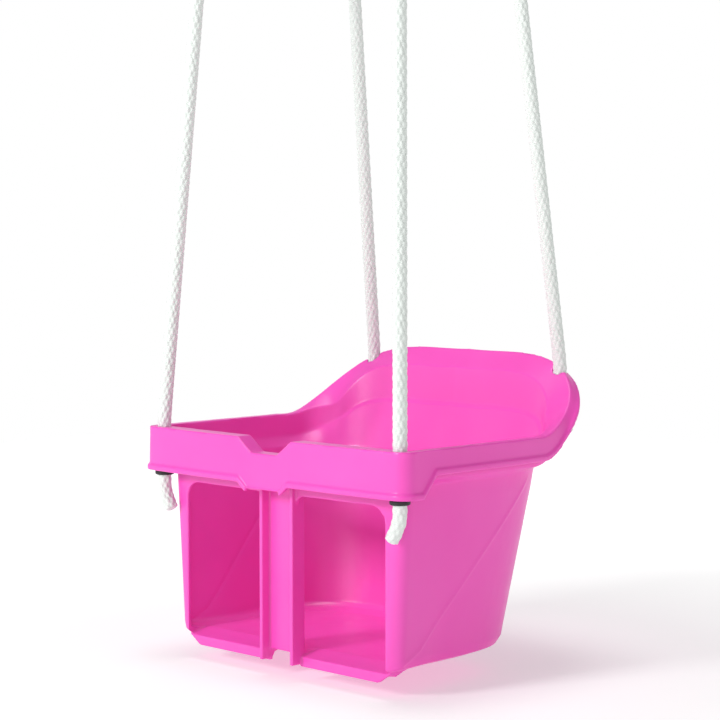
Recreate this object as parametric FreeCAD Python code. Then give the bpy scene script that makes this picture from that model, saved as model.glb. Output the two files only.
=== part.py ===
"""Toddler bucket swing: a one-piece moulded seat hung on four braided ropes.

Frame, in millimetres: the seat faces -Y, +X is on the right seen from the front, +Z is up.
The seat is drawn with the middle of its front rim's top edge at 0, and everything is moved
at the end so that the origin is the middle of the four hanging points.
"""
import FreeCAD, Part
import math
import os

V = FreeCAD.Vector

# ---- rim -------------------------------------------------------------------------------
RIM_HALF_WIDTH = 150.0
RIM_BACK_Y = 243.5          # the ridge's rearmost point
RIM_BEND_Y = 80.0           # the sides are straight up to here
RIM_SQUARENESS = 4.7        # exponent of the rounded back outline
RIM_FRONT_RADIUS = 12.0
RIM_FRONT_BOW = 3.4         # how far the front edge bulges at its middle
BACKREST_RISE = 61.0        # the ridge's height at the middle of the back
RISE_START = 0.16           # share of the back curve that is still level
RISE_SHAPE = 1.1
WIDEN_BY = 26.0             # the rim is at its full back width once it has risen this far
WALL = 3.0

TOP_WIDTH_FRONT = 15.0      # top face of the rim, ridge to inner edge
TOP_WIDTH_SIDE = 9.0
TOP_WIDTH_BACK = 19.0
TOP_DROP_BACK = 15.0        # the back's top face slopes down towards the child
PANEL_SET_BACK = 3.6        # lower edge of the backrest's upper panel, inside its upper edge
PANEL_RISE_SHARE = 0.54     # the panel's lower edge rises with the ridge by this share
PANEL_LOW = 17.0
LEDGE = 2.5                 # step between the panel and the bucket's wall

SKIRT_FRONT = 36.5          # depth of the rim's skirt round the front corners
SKIRT_SIDE = 19.5
SKIRT_BACK = 10.3
BEAD = 4.2                  # height of the bead along the skirt's lower edge
BEAD_SHOULDER = 0.9         # height of the step above it
BEAD_OUT = 2.5              # how far the bead stands out from the ridge
BEAD_OUT_BACK = 8.5
GROOVE_OUT = 0.7
GROOVE_OUT_BACK = 6.0
STEP_START_Y = 20.0         # the skirt's sloping step on each side
STEP_END_Y = 34.0
NOTCH_DEPTH = 12.0          # dip in the middle of the front rim
NOTCH_BOTTOM = 14.5         # half widths of the dip and of the tongue below it
NOTCH_TOP = 30.5
TONGUE_DEPTH = 8.4
TONGUE_BOTTOM = 18.0
TONGUE_TOP = 28.5

# ---- bucket ----------------------------------------------------------------------------
BUCKET_FRONT_Y = 14.0       # outer face of the front wall at its middle
BUCKET_FRONT_SWEEP = 3.0    # the front wall falls back by this towards the sides
BUCKET_DEPTH = 173.5        # front rim's top to the bucket's underside
BUCKET_TOP_Z = -28.0        # where the bucket's walls meet the rim's underside
BUCKET_EDGE_UP = 8.5        # above the underside, the walls start to round into the floor
BUCKET_ROUND_UP = 2.5
BUCKET_FRONT_RADIUS = 10.0
BUCKET_TOP = (15.7, 10.5, 36.0, 80.0, 4.2)          # inside the rim's ridge at the front's sides,
BUCKET_EDGE = (25.0, 29.0, 58.5, 65.0, 4.2)         # the back's sides and the back, then the y
BUCKET_ROUND = (27.0, 30.5, 62.5, 62.0, 4.1)        # where the straight sides end, and the
BUCKET_FLOOR = (33.0, 36.0, 73.5, 58.0, 3.9)        # squareness of the back

# ---- front openings --------------------------------------------------------------------
POST_HALF_WIDTH = 19.2
POST_FRONT_Y = 10.0
POST_BACK_Y = 24.0
POST_WEB_Y = 18.5
POST_FLANGE = 3.4
POST_WEB_UP = 2.0           # its lower end, above the bucket's underside
POST_FLANGE_DOWN = 7.5      # below the underside
POST_FOOT_RAISE = 0.5       # keeps the front edge of the floor's flat underside straight
POST_CORNER = 8.0           # radius of each opening's upper corner beside the post
OPENING_FRAME = 11.0        # width of the front wall beside each opening, at its lower end
OPENING_TOP = 45.1
OPENING_RADIUS = 14.0
LIP_FRONT_Y = 20.0          # front edge of the floor
LIP_THICKNESS = 3.5
LIP_CHAMFER = 13.3
LIP_DOWN = 9.5              # its lower edge, below the underside
LIP_TOP_DOWN = 1.5          # the floor slopes down to here, below the underside
LIP_SLOPE = 18.0            # over this depth

# ---- ropes and their hardware ----------------------------------------------------------
ROPE_DIAMETER = 11.0
ROPE_HOLE_CLEARANCE = 0.5   # radial
BOSS_WALL = 3.0
FRONT_HOLE_IN = 14.1        # inside the rim's half width
FRONT_HOLE_Y = 10.3
BACK_HOLE_IN = 42.4
BACK_HOLE_DROP = 14.7       # below the ridge at the middle of the back
BACK_BOSS_LENGTH = 18.0
FRONT_LEAN = (-0.0593, 0.0596)  # sideways and backwards, for each millimetre of height
BACK_LEAN = (-0.0445, -0.1263)
HANG_Z = 412.0              # height of the hanging axes above the front rim
BEND_HEIGHT = 6.0           # a rope bends this far above its hole
BEND_GAP = 2.0              # bare length on each side of the bend
STOP_CLEARANCE = 0.3        # between a stop ring and the boss it presses on
STOP_THICKNESS = 4.0
STOP_DIAMETER = 16.0
TAIL_LENGTH = 29.0          # below the stop
FRONT_TAIL_TURN = 34.0      # degrees that a tail curls through
BACK_TAIL_TURN = 24.0
BACK_TAIL_SWAY = 45.0       # degrees from +X

RING_WIRE = 6.0
RING_INNER = 34.0
EYE_GAP = 0.5               # between a ring's wire and the rope round it
CLAMP_LENGTH = 18.0
CLAMP_WALL = 1.8
CLAMP_DROP = 24.0           # from the hanging axis to the clamp's top
SLEEVE_CLEARANCE = 0.05     # between the rope and a clamp or stop round it

rope_radius = ROPE_DIAMETER / 2
hole_radius = rope_radius + ROPE_HOLE_CLEARANCE
ring_radius = (RING_INNER + RING_WIRE) / 2
bucket_edge_z = BUCKET_EDGE_UP - BUCKET_DEPTH
bucket_round_z = BUCKET_ROUND_UP - BUCKET_DEPTH
opening_outer = RIM_HALF_WIDTH - BUCKET_EDGE[0] - OPENING_FRAME
CORNER_STEPS = 5
BACK_STEPS = 18


def mix(a, b, share):
    return a + (b - a) * share


# ---- outlines: half a ring in five stretches, front middle to back middle ---------------
def half_outline(marks, front_y, sweep, half, half_back, radius, bend_y, back_y, squareness):
    """Five lists of (x, y, share of the back curve). marks are the first two break points' x."""
    def front(x):
        return front_y + sweep * (x / half) ** 2

    corner_x = half - radius
    corner_y = front(half) + radius
    arc = []
    for i in range(CORNER_STEPS + 1):
        turn = math.radians(-90 + 90 * i / CORNER_STEPS)
        arc.append((corner_x + radius * math.cos(turn), corner_y + radius * math.sin(turn), 0.0))

    def side(y):
        return mix(half, half_back, min(1.0, max(0.0, y - corner_y) / (bend_y - corner_y)))

    def straight(x0, x1, steps):
        return [(mix(x0, x1, i / steps), front(mix(x0, x1, i / steps)), 0.0) for i in range(steps + 1)]

    start_y = max(STEP_START_Y, corner_y + 2.0)
    end_y = max(STEP_END_Y, start_y + 6.0)
    third = straight(marks[1], corner_x, 3)[:-1] + arc + [(side(start_y), start_y, 0.0)]
    fourth = [(side(mix(start_y, end_y, i / 2)), mix(start_y, end_y, i / 2), 0.0) for i in range(3)]
    fifth = [(side(mix(end_y, bend_y, i / 3)), mix(end_y, bend_y, i / 3), 0.0) for i in range(3)]
    for i in range(BACK_STEPS + 1):
        turn = math.pi / 2 * (i / BACK_STEPS) ** 1.5
        x = half_back * max(0.0, math.cos(turn)) ** (2 / squareness)
        y = bend_y + (back_y - bend_y) * math.sin(turn) ** (2 / squareness)
        fifth.append((x, y, turn / (math.pi / 2)))
    fifth[-1] = (0.0, back_y, 1.0)
    return [straight(0.0, marks[0], 2), straight(marks[0], marks[1], 2), third, fourth, fifth]


def ridge_y(x):
    """The ridge's y at a given x on the rounded back."""
    depth = (1 - (x / RIM_HALF_WIDTH) ** RIM_SQUARENESS) ** (1 / RIM_SQUARENESS)
    return mix(RIM_BEND_Y, RIM_BACK_Y, depth)


def ridge_height(share):
    """Level along the sides, steep round the corners, nearly level across the back."""
    rise = min(1.0, max(0.0, (share - RISE_START) / (1 - RISE_START)))
    return BACKREST_RISE * math.sin(math.pi / 2 * rise) ** RISE_SHAPE


def width_share(z):
    """0 where the rim is level, 1 where it has its full back width."""
    share = min(1.0, z / WIDEN_BY)
    return share * share * (3 - 2 * share)


def rim_loop(front_in, side_in, back_in, height, marks=(NOTCH_BOTTOM, NOTCH_TOP)):
    """A loop that follows the ridge, moved inwards by the three distances, at
    height(ridge height, share of the back's width, stretch, share along the stretch)."""
    radius = max(3.0, RIM_FRONT_RADIUS - side_in)
    outline = half_outline(marks, front_in - RIM_FRONT_BOW, RIM_FRONT_BOW, RIM_HALF_WIDTH - side_in,
                           RIM_HALF_WIDTH - side_in, radius, RIM_BEND_Y, RIM_BACK_Y, RIM_SQUARENESS)
    ridge = half_outline(marks, front_in - RIM_FRONT_BOW, RIM_FRONT_BOW, RIM_HALF_WIDTH,
                         RIM_HALF_WIDTH, radius, RIM_BEND_Y, RIM_BACK_Y, RIM_SQUARENESS)[4]
    loop = []
    for k, stretch in enumerate(outline):
        points = []
        for i, (x, y, share) in enumerate(stretch):
            z = ridge_height(share)
            back = width_share(z)
            if k == 4 and i >= 3:
                ahead = ridge[i + 1] if i + 1 < len(ridge) else (-ridge[i - 1][0], ridge[i - 1][1])
                dx, dy = ahead[0] - ridge[i - 1][0], ahead[1] - ridge[i - 1][1]
                d = mix(side_in, back_in, back) / math.hypot(dx, dy)
                x, y = ridge[i][0] - dy * d, ridge[i][1] + dx * d
            if i == 3 and k == 4:
                x = RIM_HALF_WIDTH - side_in
            if i == len(stretch) - 1 and k == 4:
                x = 0.0
            points.append(V(x, y, height(z, back, k, i / (len(stretch) - 1))))
        loop.append(points)
    return loop


def dip(k, along):
    """Depth of the notch: full on the first stretch, rising along the second."""
    return (NOTCH_DEPTH, NOTCH_DEPTH * (1 - along), 0, 0, 0)[k]


def skirt_z(z, back, k, along):
    """The skirt's lower edge, with the tongue on its first two stretches."""
    drop = (TONGUE_DEPTH, TONGUE_DEPTH * (1 - along), 0, 0, 0)[k]
    side = mix(SKIRT_SIDE, SKIRT_BACK, back)
    return z - drop - (SKIRT_FRONT, SKIRT_FRONT, SKIRT_FRONT, mix(SKIRT_FRONT, SKIRT_SIDE, along), side)[k]


def bucket_loop(height, level, wall=0.0):
    front_in, side_in, back_in, bend_y, squareness = level
    half_front = RIM_HALF_WIDTH - front_in
    half_back = RIM_HALF_WIDTH - side_in
    back_y = RIM_BACK_Y - back_in
    marks = (POST_HALF_WIDTH * 0.8, POST_HALF_WIDTH * 1.5)
    outline = half_outline(marks, BUCKET_FRONT_Y + wall, BUCKET_FRONT_SWEEP, half_front - wall,
                           half_back - wall, BUCKET_FRONT_RADIUS - wall / 2, bend_y, back_y - wall,
                           squareness)
    return [[V(x, y, height) for x, y, _ in stretch] for stretch in outline]


def loop_wire(loop):
    """A closed wire: the half loop and its mirror image, one smooth edge per stretch."""
    edges = []
    for points in loop:
        curve = Part.BSplineCurve()
        curve.interpolate(points)
        edges.append(curve.toShape())
    for points in reversed(loop):
        mirrored = [V(-p.x, p.y, p.z) for p in reversed(points)]
        curve = Part.BSplineCurve()
        curve.interpolate(mirrored)
        edges.append(curve.toShape())
    return Part.Wire(edges)


def shell_skin():
    """The moulding as one closed skin: outer floor, outer wall, under the rim, skirt, ridge,
    top face, panel, ledge, inner wall, inner floor."""
    tongue_marks = (TONGUE_BOTTOM, TONGUE_TOP)
    top_in = (TOP_WIDTH_FRONT, TOP_WIDTH_SIDE, TOP_WIDTH_BACK)
    panel_in = [a + b for a, b in zip(top_in, (0.3, 0.3, PANEL_SET_BACK))]
    ledge_in = [a + b for a, b in zip(panel_in, (0.5, 0.5, LEDGE))]

    def less(distances, wall):
        return [d - wall for d in distances]

    def panel_z(z):
        return PANEL_RISE_SHARE * z - PANEL_LOW

    bead = (-BEAD_OUT, -BEAD_OUT, -BEAD_OUT_BACK)
    groove = (-GROOVE_OUT, -GROOVE_OUT, -GROOVE_OUT_BACK)
    under = (WALL, WALL, 1.0)
    outside = [bucket_loop(-BUCKET_DEPTH, BUCKET_FLOOR), bucket_loop(bucket_round_z, BUCKET_ROUND),
               bucket_loop(bucket_edge_z, BUCKET_EDGE), bucket_loop(BUCKET_TOP_Z, BUCKET_TOP)]
    rim = [
        rim_loop(*less(ledge_in, WALL), lambda z, b, k, a: panel_z(z) - 7.0 - dip(k, a)),
        rim_loop(*less(panel_in, WALL), lambda z, b, k, a: panel_z(z) - 5.0 - dip(k, a)),
        rim_loop(*less(top_in, WALL), lambda z, b, k, a: z - TOP_DROP_BACK * b - WALL - dip(k, a)),
        rim_loop(*under, lambda z, b, k, a: z - mix(WALL, 4.5, b) - dip(k, a)),
        rim_loop(*less(bead, -WALL * 1.3), skirt_z, tongue_marks),
        rim_loop(*bead, skirt_z, tongue_marks),
        rim_loop(*bead, lambda z, b, k, a: skirt_z(z, b, k, a) + BEAD, tongue_marks),
        rim_loop(*groove, lambda z, b, k, a: skirt_z(z, b, k, a) + BEAD + BEAD_SHOULDER, tongue_marks),
        rim_loop(0.0, 0.0, 0.0, lambda z, b, k, a: z - dip(k, a)),
        rim_loop(*top_in, lambda z, b, k, a: z - TOP_DROP_BACK * b - dip(k, a)),
        rim_loop(*panel_in, lambda z, b, k, a: panel_z(z) - 1.0 - dip(k, a)),
        rim_loop(*ledge_in, lambda z, b, k, a: panel_z(z) - 3.0 - dip(k, a)),
    ]
    inside = [bucket_loop(BUCKET_TOP_Z, BUCKET_TOP, WALL), bucket_loop(bucket_edge_z, BUCKET_EDGE, WALL),
              bucket_loop(bucket_round_z + WALL, BUCKET_ROUND, WALL),
              bucket_loop(WALL - BUCKET_DEPTH, BUCKET_FLOOR, WALL)]
    return Part.makeLoft([loop_wire(loop) for loop in outside + rim + inside], True, True)


def box(x0, x1, y0, y1, z0, z1):
    return Part.makeBox(x1 - x0, y1 - y0, z1 - z0, V(x0, y0, z0))


def prism(points, y0, y1):
    """Polygon in XZ, run from y0 to y1."""
    corners = [V(x, y0, z) for x, z in points]
    return Part.Face(Part.makePolygon(corners + corners[:1])).extrude(V(0, y1 - y0, 0))


def mirrored(shape):
    return shape.mirror(V(0, 0, 0), V(1, 0, 0))


def front_cutters():
    """Both leg openings, with rounded upper corners, and the gap that the post's web closes."""
    rear = LIP_FRONT_Y + LIP_SLOPE
    low = -BUCKET_DEPTH - 5.0
    opening = box(POST_HALF_WIDTH, opening_outer, -20.0, rear, low, -OPENING_TOP)
    upper = [e for e in opening.Edges if abs(e.CenterOfMass.z + OPENING_TOP) < 1e-6
             and abs(e.tangentAt(e.FirstParameter).y) > 0.9]
    opening = opening.makeFillet(POST_CORNER, [e for e in upper if e.CenterOfMass.x < opening_outer / 2])
    outer = [e for e in opening.Edges if abs(e.CenterOfMass.z + OPENING_TOP) < 1e-6
             and abs(e.CenterOfMass.x - opening_outer) < 1e-6]
    opening = opening.makeFillet(OPENING_RADIUS, outer)
    middle = box(-POST_HALF_WIDTH, POST_HALF_WIDTH, -20.0, rear, low, -SKIRT_FRONT - TONGUE_DEPTH + BEAD)
    return [opening, mirrored(opening), middle]


def post():
    """The U-shaped bar between the openings, open to the front."""
    top = -SKIRT_FRONT + 2.0
    foot_z = -BUCKET_DEPTH - POST_FLANGE_DOWN
    inner = POST_HALF_WIDTH - POST_FLANGE
    web = box(-inner - 0.5, inner + 0.5, POST_WEB_Y, POST_WEB_Y + POST_FLANGE,
              POST_WEB_UP - BUCKET_DEPTH, top)
    flange = box(inner, POST_HALF_WIDTH, POST_FRONT_Y, POST_BACK_Y, foot_z, top)
    rear = [e for e in flange.Edges if abs(e.CenterOfMass.z - foot_z) < 1e-6
            and abs(e.CenterOfMass.y - POST_BACK_Y) < 1e-6]
    flange = flange.makeChamfer(POST_FLANGE, rear)
    foot = box(-POST_HALF_WIDTH, POST_HALF_WIDTH, POST_WEB_Y, LIP_FRONT_Y + LIP_SLOPE,
               POST_FOOT_RAISE - BUCKET_DEPTH, WALL - BUCKET_DEPTH)
    return [web, flange, mirrored(flange), foot]


def lip():
    """The floor's front edge on each side of the post: it slopes down, then turns down."""
    front, rear = LIP_FRONT_Y, LIP_FRONT_Y + LIP_SLOPE
    inner = front + LIP_THICKNESS
    floor = -BUCKET_DEPTH
    section = [(front, floor - LIP_TOP_DOWN), (rear, floor + WALL), (rear, floor),
               (inner, floor - LIP_TOP_DOWN - WALL), (inner, floor - LIP_DOWN), (front, floor - LIP_DOWN)]
    corners = [V(POST_HALF_WIDTH - POST_FLANGE / 2, y, z) for y, z in section]
    end = RIM_HALF_WIDTH - BUCKET_FLOOR[0]
    bar = Part.Face(Part.makePolygon(corners + corners[:1])).extrude(V(end - corners[0].x, 0, 0))
    corner = prism([(end - LIP_CHAMFER, floor - LIP_DOWN), (end + 1, floor - LIP_DOWN), (end + 1, floor)],
                   front - 1, inner + 1)
    bar = bar.cut(corner)
    return [bar, mirrored(bar)]


def boss(hole, bottom, top):
    return Part.makeCylinder(hole_radius + BOSS_WALL, top - bottom, V(hole[0], hole[1], bottom))


def seat_shell():
    skin = shell_skin()
    additions = post() + lip()
    bores = []
    for hole, bottom, sink in ((front_hole, -SKIRT_FRONT, WALL / 2), (back_hole, back_boss_bottom, 6.0)):
        side = boss(hole, bottom, hole[2] - sink)
        bore = Part.makeCylinder(hole_radius, 90.0, V(hole[0], hole[1], bottom - 20.0))
        additions += [side, mirrored(side)]
        bores += [bore, mirrored(bore)]
    shape = skin.cut(front_cutters()).fuse(additions).cut(bores)
    return shape.removeSplitter()


# ---- ropes -----------------------------------------------------------------------------
def along(start, end, distance):
    return start + (end - start).normalize() * distance


def rope_axis(hole, lean):
    """Bend point above the hole, and the hanging point on the same straight line."""
    bend = V(hole[0], hole[1], hole[2] + BEND_HEIGHT)
    return bend, bend + V(lean[0], lean[1], 1.0) * (HANG_Z - bend.z)


def tube(edges, radius):
    path = Part.Wire(edges)
    start = path.OrderedVertexes[0].Point
    direction = path.OrderedEdges[0].tangentAt(path.OrderedEdges[0].FirstParameter)
    profile = Part.Wire(Part.makeCircle(radius, start, direction))
    return path.makePipeShell([profile], True, True)


def tail(hole, stop_z, curl_degrees, sway):
    """The rope's fixed lower end: down its hole, through the stop, then a curl towards sway."""
    top = V(hole[0], hole[1], hole[2] + BEND_HEIGHT - BEND_GAP)
    leave = V(hole[0], hole[1], stop_z - STOP_THICKNESS)
    turn = math.radians(curl_degrees)
    radius = TAIL_LENGTH / turn
    side = V(math.cos(sway), math.sin(sway), 0)

    def curl(angle):
        return leave + side * (radius * (1 - math.cos(angle))) - V(0, 0, radius * math.sin(angle))

    arc = Part.Arc(leave, curl(turn / 2), curl(turn)).toShape()
    return tube([Part.makeLine(top, leave), arc], rope_radius)


def sleeve(foot, direction, length, radius):
    """A tube round the rope."""
    bore = Part.makeCylinder(rope_radius + SLEEVE_CLEARANCE, length, foot, direction)
    return Part.makeCylinder(radius, length, foot, direction).cut(bore)


def rope_set(hole, lean, stop_z, curl_degrees, sway):
    """All the pieces of one rope, by name."""
    bend, hang = rope_axis(hole, lean)
    eye_radius = RING_WIRE / 2 + EYE_GAP + rope_radius
    line = (hang - bend).normalize()
    foot = along(bend, hang, BEND_GAP)
    clamp_top = along(hang, bend, CLAMP_DROP)
    rope = Part.makeCylinder(rope_radius, (hang - foot).Length - eye_radius - rope_radius / 2, foot, line)
    eye = Part.makeTorus(eye_radius, rope_radius, hang, V(1, 0, 0))
    ring = Part.makeTorus(ring_radius, RING_WIRE / 2, hang + V(0, 0, ring_radius), V(0, 1, 0))
    stop_foot = V(hole[0], hole[1], stop_z - STOP_THICKNESS)
    return {
        "rope": rope.cut(eye),
        "clamp": sleeve(along(clamp_top, bend, CLAMP_LENGTH), line, CLAMP_LENGTH, rope_radius + CLAMP_WALL),
        "eye": eye,
        "ring": ring,
        "stop": sleeve(stop_foot, V(0, 0, 1), STOP_THICKNESS, STOP_DIAMETER / 2),
        "tail": tail(hole, stop_z, curl_degrees, sway),
    }


front_hole = (RIM_HALF_WIDTH - FRONT_HOLE_IN, FRONT_HOLE_Y, 0.0)
back_hole_x = RIM_HALF_WIDTH - BACK_HOLE_IN
back_hole = (back_hole_x, ridge_y(back_hole_x), BACKREST_RISE - BACK_HOLE_DROP)
back_boss_bottom = back_hole[2] - BACK_BOSS_LENGTH
os.makedirs("parts", exist_ok=True)
origin = (rope_axis(front_hole, FRONT_LEAN)[1] + rope_axis(back_hole, BACK_LEAN)[1]) * 0.5
nodes = {"seat_shell": seat_shell()}
ropes = {
    "front": (front_hole, FRONT_LEAN, -SKIRT_FRONT - STOP_CLEARANCE, FRONT_TAIL_TURN, math.pi),
    "back": (back_hole, BACK_LEAN, back_boss_bottom - STOP_CLEARANCE, BACK_TAIL_TURN,
             math.radians(BACK_TAIL_SWAY)),
}
for place, sizes in ropes.items():
    for piece, shape in rope_set(*sizes).items():
        nodes[piece + "_" + place + "_right"] = shape
        nodes[piece + "_" + place + "_left"] = mirrored(shape)
for name, shape in nodes.items():
    shape.translate(V(0, -origin.y, -origin.z))
    shape.exportStep("parts/" + name + ".step")
print("origin", origin.y, origin.z, "back hole", back_hole)
for turn in (FRONT_TAIL_TURN, BACK_TAIL_TURN):
    bend_radius = TAIL_LENGTH / math.radians(turn)
    print("tail's bend radius, in rope diameters", round(bend_radius / ROPE_DIAMETER, 1))
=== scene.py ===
"""Toddler bucket swing, dressed: moulded plastic seat, braided ropes, steel hanging rings.

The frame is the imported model's: metres, -Y the seat's front, +Z up, origin at the middle of
the four hanging points.
"""
import math

import bmesh
import bpy
import numpy as np
from mathutils import Matrix, Vector


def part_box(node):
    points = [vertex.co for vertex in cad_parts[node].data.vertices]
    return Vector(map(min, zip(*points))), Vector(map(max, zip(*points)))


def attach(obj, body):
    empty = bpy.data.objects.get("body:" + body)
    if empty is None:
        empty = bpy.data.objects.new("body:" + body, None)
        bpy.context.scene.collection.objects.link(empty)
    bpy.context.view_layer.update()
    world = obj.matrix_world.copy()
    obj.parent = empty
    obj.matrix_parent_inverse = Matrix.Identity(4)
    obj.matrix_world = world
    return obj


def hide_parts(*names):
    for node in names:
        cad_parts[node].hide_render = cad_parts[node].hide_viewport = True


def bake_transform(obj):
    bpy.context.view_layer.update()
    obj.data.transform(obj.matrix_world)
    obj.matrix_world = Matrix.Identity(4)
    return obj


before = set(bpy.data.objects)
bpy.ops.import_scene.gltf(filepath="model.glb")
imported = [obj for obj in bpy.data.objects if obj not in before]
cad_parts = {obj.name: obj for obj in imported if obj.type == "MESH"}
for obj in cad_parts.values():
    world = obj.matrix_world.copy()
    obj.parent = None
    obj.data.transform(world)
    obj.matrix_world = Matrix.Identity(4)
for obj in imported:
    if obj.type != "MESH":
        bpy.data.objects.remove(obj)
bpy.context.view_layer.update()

# ---- places and sizes, in metres -----------------------------------------------------------
SEAT_Y = -0.112288          # front rim's middle, in the frame
SEAT_Z = -0.412             # front rim's top
ROPE_RADIUS = 0.0055
FRONT_HOLE = (0.1359, 0.0103, 0.0)     # from the front rim's middle
BACK_HOLE = (0.1076, 0.2355, 0.0463)
FRONT_LEAN = (-0.0593, 0.0596)          # sideways and backwards, for each metre of height
BACK_LEAN = (-0.0445, -0.1263)
BEND_HEIGHT = 0.006
FRONT_STOP_Z = -0.0408      # lower face of each stop ring
BACK_STOP_Z = 0.0240
TAIL_LENGTH = 0.029
EYE_RADIUS = 0.009
RING_RADIUS = 0.020
RING_WIRE = 0.003
CLAMP_DROP = 0.024
CLAMP_LENGTH = 0.018

CAMERA_AT = (1.20506, -1.12794, 0.17465)    # from the front rim's middle
CAMERA_TURN = math.radians(44.31)
CAMERA_DIP = math.radians(3.89)
CAMERA_LENS = 104.56

FLOOR_DROP = 0.012          # the floor lies this far under the seat


def seat_point(x, y, z):
    """A point given from the middle of the front rim's top edge."""
    return Vector((x, y + SEAT_Y, z + SEAT_Z))


# ---- node helpers -------------------------------------------------------------------------
class Material:
    """A Principled material and short calls for the nodes that feed it."""

    def __init__(self, name, roughness, **values):
        self.material = bpy.data.materials.new(name)
        self.material.use_nodes = True
        self.tree = self.material.node_tree
        self.shader = self.tree.nodes["Principled BSDF"]
        self.shader.inputs["Roughness"].default_value = roughness
        for socket, value in values.items():
            self.shader.inputs[socket.replace("_", " ")].default_value = value
        self.place = self.tree.nodes.new("ShaderNodeTexCoord").outputs["Object"]

    def node(self, kind, **settings):
        made = self.tree.nodes.new(kind)
        for key, value in settings.items():
            setattr(made, key, value)
        return made

    def link(self, source, node, socket):
        self.tree.links.new(source, node.inputs[socket])

    def noise(self, scale, detail=3.0, stretch=None):
        place = self.place
        if stretch:
            mapping = self.node("ShaderNodeMapping")
            mapping.inputs["Scale"].default_value = stretch
            self.link(place, mapping, "Vector")
            place = mapping.outputs["Vector"]
        texture = self.node("ShaderNodeTexNoise")
        texture.inputs["Scale"].default_value = scale
        texture.inputs["Detail"].default_value = detail
        self.link(place, texture, "Vector")
        return texture.outputs["Fac"]

    def ramp(self, source, low, high, start=0.3, end=0.7):
        made = self.node("ShaderNodeValToRGB")
        made.color_ramp.elements[0].position = start
        made.color_ramp.elements[1].position = end
        made.color_ramp.elements[0].color = (*low, 1)
        made.color_ramp.elements[1].color = (*high, 1)
        self.link(source, made, "Fac")
        return made.outputs["Color"]

    def band(self, source, low, high, start=0.3, end=0.7):
        made = self.node("ShaderNodeMapRange")
        for socket, value in (("From Min", start), ("From Max", end), ("To Min", low), ("To Max", high)):
            made.inputs[socket].default_value = value
        self.link(source, made, "Value")
        return made.outputs["Result"]

    def into(self, socket, source):
        self.link(source, self.shader, socket)

    def bump(self, height, strength, distance):
        made = self.node("ShaderNodeBump")
        made.inputs["Strength"].default_value = strength
        made.inputs["Distance"].default_value = distance
        self.link(height, made, "Height")
        self.into("Normal", made.outputs["Normal"])


def linear(red, green, blue):
    """sRGB bytes as linear light."""
    return tuple(((c / 255 + 0.055) / 1.055) ** 2.4 if c > 10 else c / 255 / 12.92 for c in (red, green, blue))


def plastic():
    """Satin polypropylene: a fine moulded grain, slight flow shading in the pigment."""
    made = Material("seat_plastic", 0.34, IOR=1.49, Specular_IOR_Level=0.5, Coat_Weight=0.0,
                    Subsurface_Weight=0.12, Subsurface_Scale=0.004)
    made.shader.inputs["Subsurface Radius"].default_value = (1.0, 0.35, 0.7)
    made.into("Base Color", made.ramp(made.noise(9.0), linear(239, 78, 186), linear(242, 86, 191)))
    made.into("Roughness", made.band(made.noise(38.0, 4.0), 0.30, 0.40))
    made.bump(made.noise(1500.0, 2.0), 0.06, 0.0002)
    return made.material


def rope_fibre():
    """White braided polypropylene yarn."""
    made = Material("rope_fibre", 0.62, IOR=1.45, Sheen_Weight=0.35, Sheen_Roughness=0.4)
    made.into("Base Color", made.ramp(made.noise(1400.0, 2.0), linear(212, 220, 215), linear(236, 241, 237)))
    made.bump(made.noise(2400.0, 2.0, (1.0, 1.0, 0.35)), 0.25, 0.0002)
    return made.material


def rubber():
    made = Material("black_rubber", 0.55, IOR=1.5)
    made.into("Base Color", made.ramp(made.noise(120.0), linear(16, 17, 18), linear(38, 39, 40)))
    made.bump(made.noise(700.0, 3.0), 0.15, 0.0003)
    return made.material


def steel():
    """Galvanised wire: soft spangle and a fine bumpy grain."""
    made = Material("galvanised_steel", 0.3, Metallic=1.0)
    made.into("Base Color", made.ramp(made.noise(160.0, 4.0), linear(150, 153, 156), linear(196, 198, 200)))
    made.into("Roughness", made.band(made.noise(220.0, 5.0), 0.24, 0.42))
    made.bump(made.noise(1200.0, 2.0), 0.08, 0.0002)
    return made.material


# ---- mesh helpers -------------------------------------------------------------------------
def finish_piece(name, verts, faces, material):
    mesh = bpy.data.meshes.new(name)
    mesh.from_pydata([tuple(v) for v in verts], [], faces)
    mesh.validate()
    work = bmesh.new()
    work.from_mesh(mesh)
    bmesh.ops.recalc_face_normals(work, faces=work.faces)
    work.to_mesh(mesh)
    work.free()
    for polygon in mesh.polygons:
        polygon.use_smooth = True
    mesh.materials.append(material)
    made = bpy.data.objects.new(name, mesh)
    bpy.context.scene.collection.objects.link(made)
    return made


def spin(name, profile, foot, direction, material, steps=48):
    """A closed ring turned about an axis: profile is a closed loop of (radius, height)."""
    turn = Vector((0, 0, 1)).rotation_difference(direction).to_matrix()
    verts = []
    for i in range(steps):
        angle = math.tau * i / steps
        for radius, height in profile:
            verts.append(foot + turn @ Vector((radius * math.cos(angle), radius * math.sin(angle), height)))
    n = len(profile)
    faces = []
    for i in range(steps):
        for j in range(n):
            k = (j + 1) % n
            following = (i + 1) % steps
            faces.append((i * n + j, following * n + j, following * n + k, i * n + k))
    return finish_piece(name, verts, faces, material)


def spline_points(name, route):
    """Points along the smooth line that a NURBS curve makes of the route."""
    curve = bpy.data.curves.new(name, "CURVE")
    curve.dimensions = "3D"
    curve.resolution_u = 24
    spline = curve.splines.new("NURBS")
    spline.points.add(len(route) - 1)
    for point, place in zip(spline.points, route):
        point.co = (*place, 1.0)
    spline.order_u = 3
    spline.use_endpoint_u = True
    line = bpy.data.objects.new(name, curve)
    mesh = bpy.data.meshes.new_from_object(line)
    points = [v.co.copy() for v in mesh.vertices]
    bpy.data.objects.remove(line)
    bpy.data.curves.remove(curve)
    bpy.data.meshes.remove(mesh)
    return points


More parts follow.
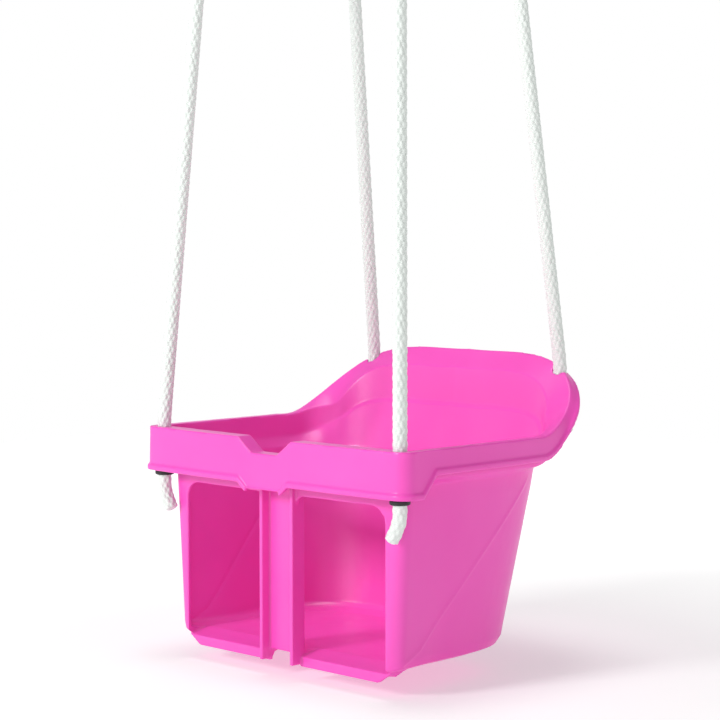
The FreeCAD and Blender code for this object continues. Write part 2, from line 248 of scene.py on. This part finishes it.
def evenly(points, step):
    """The same line with points a step apart."""
    length = sum((b - a).length for a, b in zip(points, points[1:]))
    count = max(2, round(length / step))
    gap = length / count
    made = [points[0].copy()]
    walked = 0.0
    for a, b in zip(points, points[1:]):
        span = (b - a).length
        while len(made) < count and gap * len(made) <= walked + span + 1e-12:
            made.append(a.lerp(b, (gap * len(made) - walked) / span))
        walked += span
    made.append(points[-1].copy())
    return made


# ---- ropes --------------------------------------------------------------------------------
BRAID_STRANDS = 8
BRAID_PITCH = 0.0050        # one stitch along the rope
BRAID_DEPTH = 0.00115
AROUND = 48
ALONG = 0.00085


def braid_height(angle, distance):
    """Height of a diamond braid's surface, 0 in its gaps and 1 on its strands."""
    a = BRAID_STRANDS * angle / math.tau + distance / BRAID_PITCH / 2
    b = BRAID_STRANDS * angle / math.tau - distance / BRAID_PITCH / 2
    over = (math.floor(a) + math.floor(b)) % 2 == 0
    across, lengthwise = (a % 1, b % 1) if over else (b % 1, a % 1)
    return math.sin(math.pi * across) ** 0.55 * (0.55 + 0.45 * math.sin(math.pi * lengthwise))


def braided(name, centres, material, closed=False):
    """A braided tube whose strands stand up from a core of the rope's radius."""
    frames = []
    normal = None
    count = len(centres)
    for i, centre in enumerate(centres):
        before = centres[i - 1] if i or closed else centre
        after = centres[(i + 1) % count] if i + 1 < count or closed else centre
        tangent = (after - before).normalized()
        if normal is None:
            normal = tangent.orthogonal().normalized()
        normal = (normal - tangent * normal.dot(tangent)).normalized()
        frames.append((centre, normal.copy(), tangent.cross(normal)))
    verts = []
    walked = 0.0
    for i, (centre, u, v) in enumerate(frames):
        if i:
            walked += (centre - frames[i - 1][0]).length
        for j in range(AROUND):
            angle = math.tau * j / AROUND
            radius = ROPE_RADIUS - BRAID_DEPTH * (0.75 - braid_height(angle, walked))
            verts.append(centre + (u * math.cos(angle) + v * math.sin(angle)) * radius)
    rings = count if closed else count - 1
    faces = []
    for i in range(rings):
        for j in range(AROUND):
            k = (j + 1) % AROUND
            n = (i + 1) % count
            faces.append((i * AROUND + j, i * AROUND + k, n * AROUND + k, n * AROUND + j))
    if not closed:
        for ring, way in ((0, -1), (count - 1, 1)):
            centre, u, v = frames[ring]
            outward = u.cross(v) * way
            inner = []
            for share, lift in ((0.72, 0.0012), (0.36, 0.0016)):
                inner.append(len(verts))
                for j in range(AROUND):
                    angle = math.tau * j / AROUND
                    verts.append(centre + (u * math.cos(angle) + v * math.sin(angle)) * ROPE_RADIUS * share
                                 + outward * lift)
            loops = [ring * AROUND] + inner
            for first, second in zip(loops, loops[1:]):
                for j in range(AROUND):
                    k = (j + 1) % AROUND
                    faces.append((first + j, first + k, second + k, second + j))
            faces.append(tuple(loops[-1] + j for j in range(AROUND)))
    return finish_piece(name, verts, faces, material)


def hanging_line(hole, lean, side):
    """Where a rope bends above its hole, and where it hangs from."""
    bend = seat_point(hole[0] * side, hole[1], hole[2] + BEND_HEIGHT)
    return bend, bend + Vector((lean[0] * side, lean[1], 1.0)) * -bend.z


def rope_route(hole, lean, side, stop_z, turn, sway):
    """From the tail's end, up through the stop and the hole, to just under the eye."""
    bend, hang = hanging_line(hole, lean, side)
    line = (hang - bend).normalized()
    leave = seat_point(hole[0] * side, hole[1], stop_z)
    radius = TAIL_LENGTH / turn
    out = Vector((math.cos(sway) * side, math.sin(sway), 0))
    end = leave + out * radius * (1 - math.cos(turn)) - Vector((0, 0, radius * math.sin(turn)))
    knee = leave - Vector((0, 0, radius * math.tan(turn / 2)))
    return [
        end,
        knee,
        leave,
        seat_point(hole[0] * side, hole[1], hole[2] - 0.004),
        bend,
        bend + line * 0.030,
        hang - line * 0.066,
        hang - line * EYE_RADIUS,
    ]


def rope(place, side, hole, lean, stop_z, turn, sway, fibre, black, metal):
    body = f"{place}_ropes"
    hand = "right" if side > 0 else "left"
    tag = f"{place}_{hand}"
    bend, hang = hanging_line(hole, lean, side)
    line = (hang - bend).normalized()
    route = rope_route(hole, lean, side, stop_z, turn, sway)
    centres = evenly(spline_points(f"route_{tag}", route), ALONG)
    piece = braided(f"braided_rope_{tag}", centres, fibre)
    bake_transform(piece)
    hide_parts(f"rope_{tag}", f"tail_{tag}")

    steps = 96
    circle = [hang + Vector((0, math.cos(math.tau * i / steps), math.sin(math.tau * i / steps))) * EYE_RADIUS
              for i in range(steps)]
    eye = braided(f"rope_eye_{tag}", circle, fibre, closed=True)
    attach(eye, body)
    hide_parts(f"eye_{tag}")

    clamp = crimped_clamp(f"clamp_sleeve_{tag}", hang - line * (CLAMP_DROP + CLAMP_LENGTH), line, black)
    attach(clamp, body)
    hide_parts(f"clamp_{tag}")

    stop = stop_ring(f"stop_collar_{tag}", seat_point(hole[0] * side, hole[1], stop_z), black)
    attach(stop, "seat")
    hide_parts(f"stop_{tag}")

    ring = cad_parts[f"ring_{tag}"]
    ring.data.materials.clear()
    ring.data.materials.append(metal)


def rounded_loop(inner, outer, height, radius, dents=0, depth=0.0):
    """A closed profile with rounded corners, its outer side pressed in by some dents."""
    loop = [(inner, radius * 0.5), (inner, height - radius * 0.5), (inner + radius * 0.5, height)]
    for i in range(5):
        angle = math.pi / 2 * (1 - i / 4)
        loop.append((outer - radius + radius * math.cos(angle), height - radius + radius * math.sin(angle)))
    rows = 8 * dents
    for i in range(1, rows):
        wave = math.sin(math.pi * (dents * i / rows % 1)) ** 2
        loop.append((outer - depth * wave, height - radius - (height - 2 * radius) * i / rows))
    for i in range(5):
        angle = -math.pi / 2 * i / 4
        loop.append((outer - radius + radius * math.cos(angle), radius + radius * math.sin(angle)))
    loop.append((inner + radius * 0.5, 0.0))
    return loop


def crimped_clamp(name, foot, direction, material):
    return spin(name, rounded_loop(0.0056, 0.0073, CLAMP_LENGTH, 0.0009, 3, 0.0005), foot, direction, material)


def stop_ring(name, foot, material):
    return spin(name, rounded_loop(0.0056, 0.0080, 0.004, 0.0013), foot, Vector((0, 0, 1)), material)


# ---- seat ---------------------------------------------------------------------------------
SEAT_VOXEL = 0.0010
CREASE = ((0.019, -0.170), (0.045, -0.158), (0.111, -0.088), (0.173, -0.024))   # y and z, on each side wall
WALL_INSIDE = 0.090         # the side walls are further out than this,
WALL_TOP = -0.030           # lower than this
WALL_FRONT = 0.014          # and further back
CREASE_HEIGHT = 0.0009
CREASE_FALL = 0.060         # it dies away over this distance
CREASE_RIDGE = 0.0006       # a fine line along its top
CREASE_RIDGE_WIDTH = 0.0017


def apply_modifiers(piece):
    graph = bpy.context.evaluated_depsgraph_get()
    mesh = bpy.data.meshes.new_from_object(piece.evaluated_get(graph))
    piece.modifiers.clear()
    piece.data = mesh


def crease_sides(mesh):
    """The side walls bulge along a diagonal crease, on both faces of the wall."""
    places = np.empty(len(mesh.vertices) * 3)
    mesh.vertices.foreach_get("co", places)
    places = places.reshape(-1, 3)
    normals = np.empty(len(mesh.vertices) * 3)
    mesh.vertices.foreach_get("normal", normals)
    facing = np.clip(np.abs(normals.reshape(-1, 3)[:, 0]) * 2.5 - 1.2, 0, 1)
    yz = places[:, 1:] - np.array((SEAT_Y, SEAT_Z))
    distance = np.full(len(places), np.inf)
    for start, end in zip(CREASE, CREASE[1:]):
        start = np.array(start)
        run = np.array(end) - start
        share = np.clip((yz - start) @ run / (run @ run), 0, 1)
        distance = np.minimum(distance, np.linalg.norm(yz - start - share[:, None] * run, axis=1))
    on_wall = (np.abs(places[:, 0]) > WALL_INSIDE) & (yz[:, 1] < WALL_TOP) & (yz[:, 0] > WALL_FRONT)
    height = CREASE_HEIGHT * np.clip(1 - distance / CREASE_FALL, 0, 1)
    height += CREASE_RIDGE * np.exp(-(distance / CREASE_RIDGE_WIDTH) ** 2)
    fade = np.clip((WALL_TOP - yz[:, 1]) / 0.012, 0, 1) * np.clip((yz[:, 0] - WALL_FRONT) / 0.012, 0, 1)
    places[:, 0] += np.sign(places[:, 0]) * height * fade * facing * on_wall
    mesh.vertices.foreach_set("co", places.ravel())
    mesh.update()


def seat(material):
    """The moulding with its edges softened, as one even skin."""
    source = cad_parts["seat_shell"]
    piece = bpy.data.objects.new("moulded_seat", source.data.copy())
    bpy.context.scene.collection.objects.link(piece)
    remesh = piece.modifiers.new("even", "REMESH")
    remesh.mode = "VOXEL"
    remesh.voxel_size = SEAT_VOXEL
    soften = piece.modifiers.new("soften", "SMOOTH")
    soften.factor = 0.5
    soften.iterations = 2
    apply_modifiers(piece)
    crease_sides(piece.data)
    for polygon in piece.data.polygons:
        polygon.use_smooth = True
    piece.data.materials.clear()
    piece.data.materials.append(material)
    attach(piece, "seat")
    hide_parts("seat_shell")


# ---- stage --------------------------------------------------------------------------------
def area_light(name, place, target, size, power, tint=(1, 1, 1)):
    light = bpy.data.lights.new(name, "AREA")
    light.energy = power
    light.size = size
    light.color = tint
    made = bpy.data.objects.new(name, light)
    made.location = place
    made.rotation_euler = (Vector(target) - Vector(place)).to_track_quat("-Z", "Y").to_euler()
    bpy.context.scene.collection.objects.link(made)


def studio_walls():
    """White walls under a dimmer ceiling."""
    world = bpy.data.worlds.new("studio")
    world.use_nodes = True
    tree = world.node_tree
    direction = tree.nodes.new("ShaderNodeTexCoord")
    split = tree.nodes.new("ShaderNodeSeparateXYZ")
    dim = tree.nodes.new("ShaderNodeMapRange")
    for socket, value in (("From Min", 0.12), ("From Max", 0.5), ("To Min", 1.0), ("To Max", 0.25)):
        dim.inputs[socket].default_value = value
    tree.links.new(direction.outputs["Generated"], split.inputs["Vector"])
    tree.links.new(split.outputs["Z"], dim.inputs["Value"])
    tree.nodes["Background"].inputs["Color"].default_value = (1, 1, 1, 1)
    tree.links.new(dim.outputs["Result"], tree.nodes["Background"].inputs["Strength"])
    return world


def stage():
    scene = bpy.context.scene
    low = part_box("seat_shell")[0].z
    bpy.ops.mesh.primitive_plane_add(size=3.2, location=(0, 0, low - FLOOR_DROP))
    floor = bpy.context.object
    floor.name = "floor"
    # The floor's grey is its own colour, but it also glows, dimmer near the seat and brighter further out. This
    # is painted light that whitens the far floor, and painted shade as a darker ring under and round the seat.
    glowing_floor = Material("floor_paint_with_glow", 0.9)
    glowing_floor.into("Base Color", glowing_floor.ramp(glowing_floor.noise(3.0), (0.66, 0.66, 0.66), (0.70, 0.70, 0.70)))
    glowing_floor.shader.inputs["Emission Color"].default_value = (1, 1, 1, 1)
    reach = glowing_floor.node("ShaderNodeVectorMath", operation="LENGTH")
    glowing_floor.link(glowing_floor.place, reach, "Vector")
    glowing_floor.into("Emission Strength", glowing_floor.band(reach.outputs["Value"], 0.40, 0.75, 0.3, 1.0))
    floor.data.materials.append(glowing_floor.material)

    scene.world = studio_walls()
    scene.view_settings.view_transform = "Standard"

    middle = seat_point(0, 0.1, -0.05)
    area_light("key", (-0.50, -2.6, 0.70), middle, 0.6, 42)
    area_light("top", (-0.1, -0.1, 1.6), middle, 0.9, 17)

    camera = bpy.data.objects.new("camera", bpy.data.cameras.new("camera"))
    camera.data.lens = CAMERA_LENS
    camera.data.clip_end = 50
    camera.location = seat_point(*CAMERA_AT)
    camera.rotation_euler = (math.pi / 2 - CAMERA_DIP, 0, CAMERA_TURN)
    scene.collection.objects.link(camera)
    scene.camera = camera


fibre = rope_fibre()
black = rubber()
metal = steel()
stage()
for side in (1, -1):
    rope("front", side, FRONT_HOLE, FRONT_LEAN, FRONT_STOP_Z, math.radians(34), math.pi, fibre, black, metal)
    rope("back", side, BACK_HOLE, BACK_LEAN, BACK_STOP_Z, math.radians(24), math.radians(45), fibre, black, metal)
seat(plastic())
